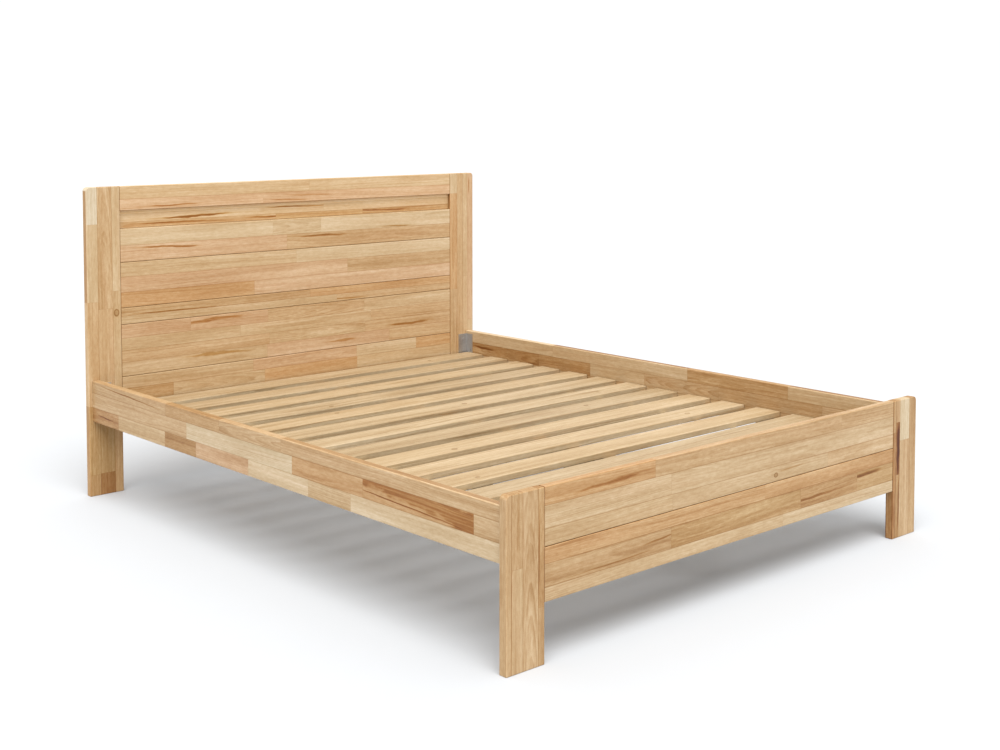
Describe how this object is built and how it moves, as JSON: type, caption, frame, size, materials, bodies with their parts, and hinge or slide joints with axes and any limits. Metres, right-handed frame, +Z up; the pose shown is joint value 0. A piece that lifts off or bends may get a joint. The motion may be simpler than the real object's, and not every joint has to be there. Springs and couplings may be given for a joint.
{
  "type": "bed frame",
  "caption": "Solid wood double bed frame with a panelled headboard, low footboard, side rails, and a slat base carried by ledges and a centre beam on an adjustable leg.",
  "frame": {"origin": "on the floor, under the middle of the bed frame", "axes": "+X across the bed, +Y from the foot end towards the headboard, +Z up"},
  "size_m": [1.675, 2.065, 1.025],
  "materials": {
    "frame_beech": "oiled beech, satin",
    "slat_spruce": "planed, unfinished",
    "zinc_steel": "zinc plated",
    "strap_webbing": "woven webbing",
    "foot_plastic": "moulded, matt black"
  },
  "bodies": {
    "frame": {"head_post_left": "frame_beech", "head_post_right": "frame_beech", "headboard_top_rail": "frame_beech", "headboard_recessed_strip": "frame_beech", "headboard_board_1": "frame_beech", "headboard_board_2": "frame_beech", "headboard_board_3": "frame_beech", "headboard_board_4": "frame_beech", "headboard_board_5": "frame_beech", "foot_post_left": "frame_beech", "foot_post_right": "frame_beech", "footboard_upper_board": "frame_beech", "footboard_lower_board": "frame_beech", "side_rail_left": "frame_beech", "side_rail_right": "frame_beech", "slat_ledge_left": "frame_beech", "slat_ledge_right": "frame_beech", "centre_beam": "slat_spruce", "centre_leg": "slat_spruce", "beam_pocket_foot": "zinc_steel", "beam_pocket_head": "zinc_steel", "corner_bracket_foot_left": "zinc_steel", "corner_bracket_foot_right": "zinc_steel", "corner_bracket_head_left": "zinc_steel", "corner_bracket_head_right": "zinc_steel", "screw_foot_left_rail_lower": "zinc_steel", "screw_foot_left_rail_upper": "zinc_steel", "screw_foot_left_post_lower": "zinc_steel", "screw_foot_left_post_upper": "zinc_steel", "screw_foot_right_rail_lower": "zinc_steel", "screw_foot_right_rail_upper": "zinc_steel", "screw_foot_right_post_lower": "zinc_steel", "screw_foot_right_post_upper": "zinc_steel", "screw_head_left_rail_lower": "zinc_steel", "screw_head_left_rail_upper": "zinc_steel", "screw_head_left_post_lower": "zinc_steel", "screw_head_left_post_upper": "zinc_steel", "screw_head_right_rail_lower": "zinc_steel", "screw_head_right_rail_upper": "zinc_steel", "screw_head_right_post_lower": "zinc_steel", "screw_head_right_post_upper": "zinc_steel", "slat_01": "slat_spruce", "slat_02": "slat_spruce", "slat_03": "slat_spruce", "slat_04": "slat_spruce", "slat_05": "slat_spruce", "slat_06": "slat_spruce", "slat_07": "slat_spruce", "slat_08": "slat_spruce", "slat_09": "slat_spruce", "slat_10": "slat_spruce", "slat_11": "slat_spruce", "slat_12": "slat_spruce", "slat_13": "slat_spruce", "slat_14": "slat_spruce", "slat_strap_left": "strap_webbing", "slat_strap_right": "strap_webbing"},
    "levelling_foot": {"centre_foot_pad": "foot_plastic", "centre_foot_stem": "zinc_steel"}
  },
  "joints": [
    {"name": "levelling_travel", "type": "slide", "parent": "frame", "child": "levelling_foot", "axis": [0, 0, 1], "range_m": [0, 0.012]}
  ]
}
